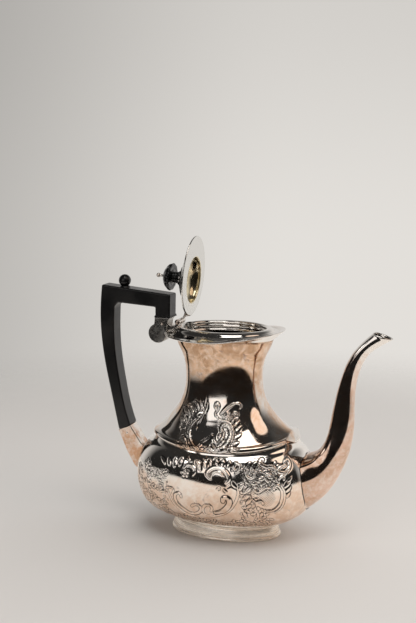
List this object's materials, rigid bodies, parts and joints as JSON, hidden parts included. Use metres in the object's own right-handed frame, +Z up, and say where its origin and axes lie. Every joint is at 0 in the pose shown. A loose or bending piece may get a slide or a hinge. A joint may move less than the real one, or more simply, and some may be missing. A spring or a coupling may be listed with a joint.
{
  "type": "coffee pot",
  "caption": "Oval panelled coffee pot with swan-neck spout, squared black handle and hinged domed lid with a turned knob.",
  "frame": {"origin": "on the table under the middle of the foot", "axes": "+Z up, +X towards the spout, -Y towards the front panel; the handle is at -X"},
  "size_m": [0.2548, 0.105, 0.2535],
  "materials": {
    "foot_ring": "silver plate, bright",
    "base_plate": "silver plate, bright",
    "body_lower": "tarnished silver plate, mirror bright",
    "body_neck": "tarnished silver plate, mirror bright",
    "rim_mount": "silver plate, bright",
    "lid_seat": "silver plate, bright",
    "spout": "tarnished silver plate, mirror bright",
    "upper_socket": "silver plate, bright",
    "upper_strap": "silver plate, bright",
    "lower_socket": "tarnished silver plate, mirror bright",
    "handle": "satin black",
    "thumb_rest": "satin black",
    "upper_socket_pin": "bright metal",
    "lower_socket_pin": "bright metal",
    "hinge_knuckles": "silver plate, bright",
    "hinge_pin": "bright metal",
    "lid": "silver plate, bright",
    "lid_leaf": "silver plate, bright",
    "knob": "satin black",
    "knob_washer": "bright metal",
    "knob_inner_washer": "bright metal",
    "knob_nut": "bright metal",
    "knob_spindle": "bright metal"
  },
  "bodies": {
    "pot": {"foot_ring": "foot_ring", "base_plate": "base_plate", "body_lower": "body_lower", "body_neck": "body_neck", "rim_mount": "rim_mount", "lid_seat": "lid_seat", "spout": "spout", "upper_socket": "upper_socket", "upper_strap": "upper_strap", "lower_socket": "lower_socket", "handle": "handle", "thumb_rest": "thumb_rest", "upper_socket_pin": "upper_socket_pin", "lower_socket_pin": "lower_socket_pin", "hinge_knuckles": "hinge_knuckles", "hinge_pin": "hinge_pin"},
    "lid": {"lid": "lid", "lid_leaf": "lid_leaf", "knob": "knob", "knob_washer": "knob_washer", "knob_inner_washer": "knob_inner_washer", "knob_nut": "knob_nut", "knob_spindle": "knob_spindle"}
  },
  "joints": [
    {"name": "lid_hinge", "type": "hinge", "parent": "pot", "child": "lid", "pos_m": [-0.042, 0, 0.1802], "axis": [0, 1, 0], "range_deg": [0, 85]}
  ]
}
